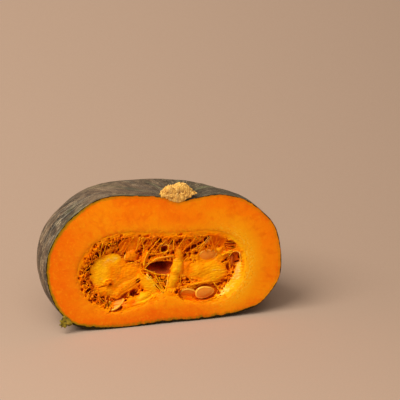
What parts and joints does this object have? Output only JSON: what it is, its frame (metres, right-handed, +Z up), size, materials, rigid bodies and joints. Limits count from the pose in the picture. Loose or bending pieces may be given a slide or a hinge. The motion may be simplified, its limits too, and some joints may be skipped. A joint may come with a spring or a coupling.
{
  "type": "halved kabocha squash",
  "caption": "Kabocha squash cut in half from stem to blossom end, with its cavity of stringy pulp and seeds open to the front and a corky stem stub, standing on its base.",
  "frame": {"origin": "on the surface that it stands on, under the middle of the bounding box", "axes": "+Z up along the stem; the flat cut face looks along -Y, so +Y is the rounded back; +X runs along the cut face, to the right as one looks at it"},
  "size_m": [0.2046, 0.104, 0.1207],
  "materials": {
    "squash": "satin",
    "stem": "matte",
    "pulp": "satin",
    "seed": "satin"
  },
  "bodies": {
    "root": {"squash_half": "squash", "stem": "stem", "pulp": "pulp", "seed_01": "seed", "seed_02": "seed", "seed_03": "seed", "seed_04": "seed", "seed_05": "seed", "seed_06": "seed", "seed_07": "seed", "seed_08": "seed", "seed_09": "seed", "seed_10": "seed", "seed_11": "seed", "seed_12": "seed"}
  },
  "joints": []
}
